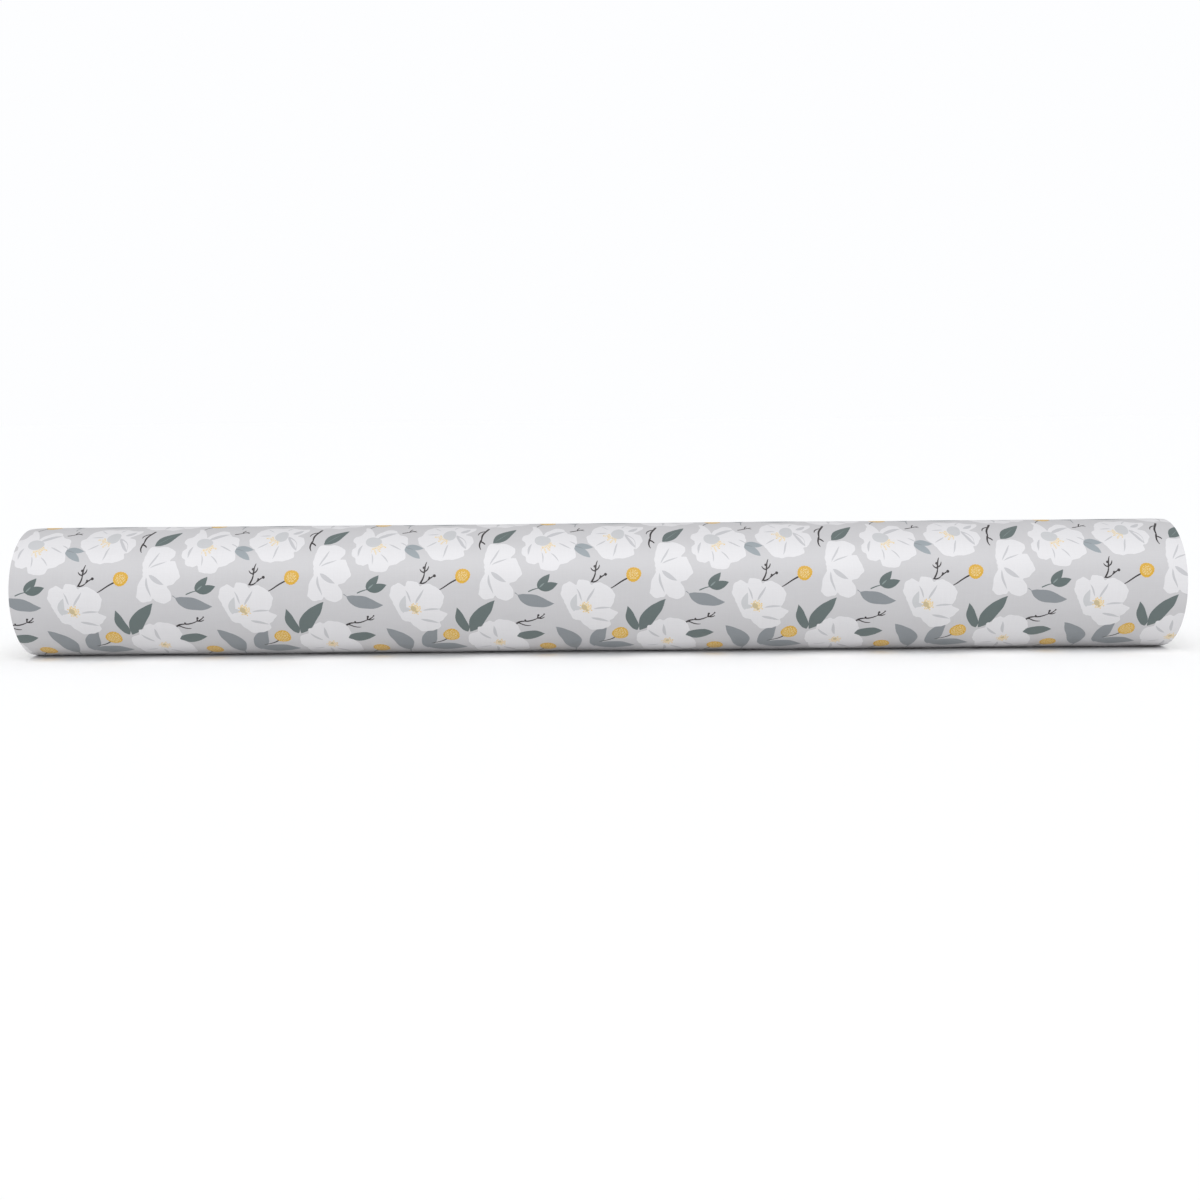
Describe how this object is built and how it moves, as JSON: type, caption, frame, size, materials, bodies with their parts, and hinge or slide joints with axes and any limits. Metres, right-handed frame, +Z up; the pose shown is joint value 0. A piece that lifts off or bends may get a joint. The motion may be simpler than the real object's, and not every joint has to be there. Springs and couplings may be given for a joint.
{
  "type": "fabric bolt",
  "caption": "Long roll of floral printed cloth wound on a paperboard tube, lying on its side, its taped free end able to unroll behind it.",
  "frame": {"origin": "on the surface that the bolt lies on, under the middle of its length and of its section", "axes": "+X along the roll, +Y towards the back, where the free end is, +Z up"},
  "size_m": [1.47, 0.166, 0.165],
  "materials": {
    "printed_cloth": "matte",
    "paperboard": "matte",
    "paper_tape": "matte",
    "clear_tape": "gloss"
  },
  "bodies": {
    "roll": {"core_tube": "paperboard", "start_tape": "paper_tape", "cloth_inner_turns": "printed_cloth", "cloth_outer_turn": "printed_cloth"},
    "tail_01": {"cloth_tail_01": "printed_cloth"},
    "tail_02": {"cloth_tail_02": "printed_cloth"},
    "tail_03": {"cloth_tail_03": "printed_cloth"},
    "tail_04": {"cloth_tail_04": "printed_cloth"},
    "tail_05": {"cloth_tail_05": "printed_cloth"},
    "tail_06": {"cloth_tail_06": "printed_cloth"},
    "tail_07": {"cloth_tail_07": "printed_cloth"},
    "tail_08": {"cloth_tail_08": "printed_cloth"},
    "tail_09": {"cloth_tail_09": "printed_cloth"},
    "tail_10": {"cloth_tail_10": "printed_cloth"},
    "tail_11": {"cloth_tail_11": "printed_cloth"},
    "tail_12": {"cloth_tail_12": "printed_cloth"},
    "tail_13": {"cloth_tail_13": "printed_cloth"},
    "tail_14": {"cloth_tail_14": "printed_cloth"},
    "tail_15": {"cloth_tail_15": "printed_cloth", "end_tape_left": "clear_tape", "end_tape_middle": "clear_tape", "end_tape_right": "clear_tape"}
  },
  "joints": [
    {"name": "tail_unroll", "type": "hinge", "parent": "roll", "child": "tail_01", "pos_m": [0, 0.01293, 0], "axis": [-1, 0, 0], "range_deg": [0, 9.5]},
    {"name": "tail_bend_02", "type": "hinge", "parent": "tail_01", "child": "tail_02", "pos_m": [0, 0.02156, 0.00152], "axis": [-1, 0, 0], "range_deg": [0, 9.5]},
    {"name": "tail_bend_03", "type": "hinge", "parent": "tail_02", "child": "tail_03", "pos_m": [0, 0.03521, 0.00649], "axis": [-1, 0, 0], "range_deg": [0, 9.5]},
    {"name": "tail_bend_04", "type": "hinge", "parent": "tail_03", "child": "tail_04", "pos_m": [0, 0.04779, 0.01375], "axis": [-1, 0, 0], "range_deg": [0, 9.5]},
    {"name": "tail_bend_05", "type": "hinge", "parent": "tail_04", "child": "tail_05", "pos_m": [0, 0.05891, 0.02309], "axis": [-1, 0, 0], "range_deg": [0, 9.5]},
    {"name": "tail_bend_06", "type": "hinge", "parent": "tail_05", "child": "tail_06", "pos_m": [0, 0.06825, 0.03421], "axis": [-1, 0, 0], "range_deg": [0, 9.5]},
    {"name": "tail_bend_07", "type": "hinge", "parent": "tail_06", "child": "tail_07", "pos_m": [0, 0.07551, 0.04679], "axis": [-1, 0, 0], "range_deg": [0, 9.5]},
    {"name": "tail_bend_08", "type": "hinge", "parent": "tail_07", "child": "tail_08", "pos_m": [0, 0.08048, 0.06044], "axis": [-1, 0, 0], "range_deg": [0, 9.5]},
    {"name": "tail_bend_09", "type": "hinge", "parent": "tail_08", "child": "tail_09", "pos_m": [0, 0.083, 0.07474], "axis": [-1, 0, 0], "range_deg": [0, 9.5]},
    {"name": "tail_bend_10", "type": "hinge", "parent": "tail_09", "child": "tail_10", "pos_m": [0, 0.083, 0.08926], "axis": [-1, 0, 0], "range_deg": [0, 9.5]},
    {"name": "tail_bend_11", "type": "hinge", "parent": "tail_10", "child": "tail_11", "pos_m": [0, 0.08048, 0.10356], "axis": [-1, 0, 0], "range_deg": [0, 9.5]},
    {"name": "tail_bend_12", "type": "hinge", "parent": "tail_11", "child": "tail_12", "pos_m": [0, 0.07551, 0.11721], "axis": [-1, 0, 0], "range_deg": [0, 9.5]},
    {"name": "tail_bend_13", "type": "hinge", "parent": "tail_12", "child": "tail_13", "pos_m": [0, 0.06825, 0.12979], "axis": [-1, 0, 0], "range_deg": [0, 9.5]},
    {"name": "tail_bend_14", "type": "hinge", "parent": "tail_13", "child": "tail_14", "pos_m": [0, 0.05891, 0.14091], "axis": [-1, 0, 0], "range_deg": [0, 9.5]},
    {"name": "tail_bend_15", "type": "hinge", "parent": "tail_14", "child": "tail_15", "pos_m": [0, 0.04779, 0.15025], "axis": [-1, 0, 0], "range_deg": [0, 9.5]}
  ],
  "couplings": [
    {"joint": "tail_bend_02", "follows": "tail_unroll", "ratio": 1},
    {"joint": "tail_bend_03", "follows": "tail_unroll", "ratio": 1},
    {"joint": "tail_bend_04", "follows": "tail_unroll", "ratio": 1},
    {"joint": "tail_bend_05", "follows": "tail_unroll", "ratio": 1},
    {"joint": "tail_bend_06", "follows": "tail_unroll", "ratio": 1},
    {"joint": "tail_bend_07", "follows": "tail_unroll", "ratio": 1},
    {"joint": "tail_bend_08", "follows": "tail_unroll", "ratio": 1},
    {"joint": "tail_bend_09", "follows": "tail_unroll", "ratio": 1},
    {"joint": "tail_bend_10", "follows": "tail_unroll", "ratio": 1},
    {"joint": "tail_bend_11", "follows": "tail_unroll", "ratio": 1},
    {"joint": "tail_bend_12", "follows": "tail_unroll", "ratio": 1},
    {"joint": "tail_bend_13", "follows": "tail_unroll", "ratio": 1},
    {"joint": "tail_bend_14", "follows": "tail_unroll", "ratio": 1},
    {"joint": "tail_bend_15", "follows": "tail_unroll", "ratio": 1}
  ]
}
